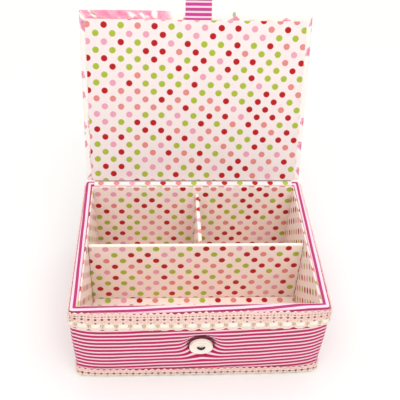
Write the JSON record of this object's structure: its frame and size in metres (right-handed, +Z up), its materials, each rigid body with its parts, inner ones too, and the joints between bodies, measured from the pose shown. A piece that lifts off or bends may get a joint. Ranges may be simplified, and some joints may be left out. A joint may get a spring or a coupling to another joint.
{
  "type": "sewing box",
  "caption": "Cloth-covered sewing box with padded striped walls, lace bands, a dotted lining, card dividers and a padded lid on a cloth hinge with a buttoning strap.",
  "frame": {"origin": "centre of the underside that the box stands on, midway between the rim's sides, front and back", "axes": "+X to the right as seen from the buttoned front, +Y to the hinged back, +Z up"},
  "size_m": [0.2466, 0.2651, 0.3533],
  "materials": {
    "greyboard": "matt greyboard",
    "lining_card": "matt card",
    "wadding": "soft polyester wadding",
    "striped_cotton": "printed cotton with pink and white stripes",
    "dotted_cotton": "white printed cotton with red, pink, salmon and lime dots",
    "flowered_cotton": "cream printed cotton with small pink flowers",
    "lace": "ivory cotton lace",
    "base_cotton": "plain cream cotton",
    "button": "polished ivory",
    "thread": "black sewing thread"
  },
  "bodies": {
    "box": {"base_sheet": "base_cotton", "base_board": "greyboard", "front_board": "greyboard", "back_board": "greyboard", "left_board": "greyboard", "right_board": "greyboard", "front_wadding": "wadding", "back_wadding": "wadding", "left_wadding": "wadding", "right_wadding": "wadding", "striped_cover": "striped_cotton", "upper_lace": "lace", "lower_lace": "lace", "floor_lining_card": "lining_card", "floor_lining_cloth": "dotted_cotton", "front_lining_card": "lining_card", "front_lining_cloth": "dotted_cotton", "back_lining_card": "lining_card", "back_lining_cloth": "dotted_cotton", "left_lining_card": "lining_card", "left_lining_cloth": "dotted_cotton", "right_lining_card": "lining_card", "right_lining_cloth": "dotted_cotton", "long_divider_board": "greyboard", "long_divider_cloth": "dotted_cotton", "cross_divider_board": "greyboard", "cross_divider_cloth": "dotted_cotton", "front_button": "button", "button_thread": "thread", "hinge_lining_strip": "dotted_cotton", "rear_hinge_flap": "flowered_cotton"},
    "lid": {"lid_board": "greyboard", "lid_wadding": "wadding", "lid_cover": "flowered_cotton", "lid_lining_card": "lining_card", "lid_lining_cloth": "dotted_cotton", "strap_tuck": "striped_cotton"},
    "strap": {"closing_strap": "striped_cotton"}
  },
  "joints": [
    {"name": "lid_hinge", "type": "hinge", "parent": "box", "child": "lid", "pos_m": [0, 0.0922, 0.0993], "axis": [-1, 0, 0], "range_deg": [-106.5, 0], "deforming": ["hinge_lining_strip", "rear_hinge_flap"]},
    {"name": "strap_fold", "type": "hinge", "parent": "lid", "child": "strap", "pos_m": [0.0015, 0.14627, 0.27832], "axis": [-1, 0, 0], "range_deg": [-84, 0]}
  ]
}
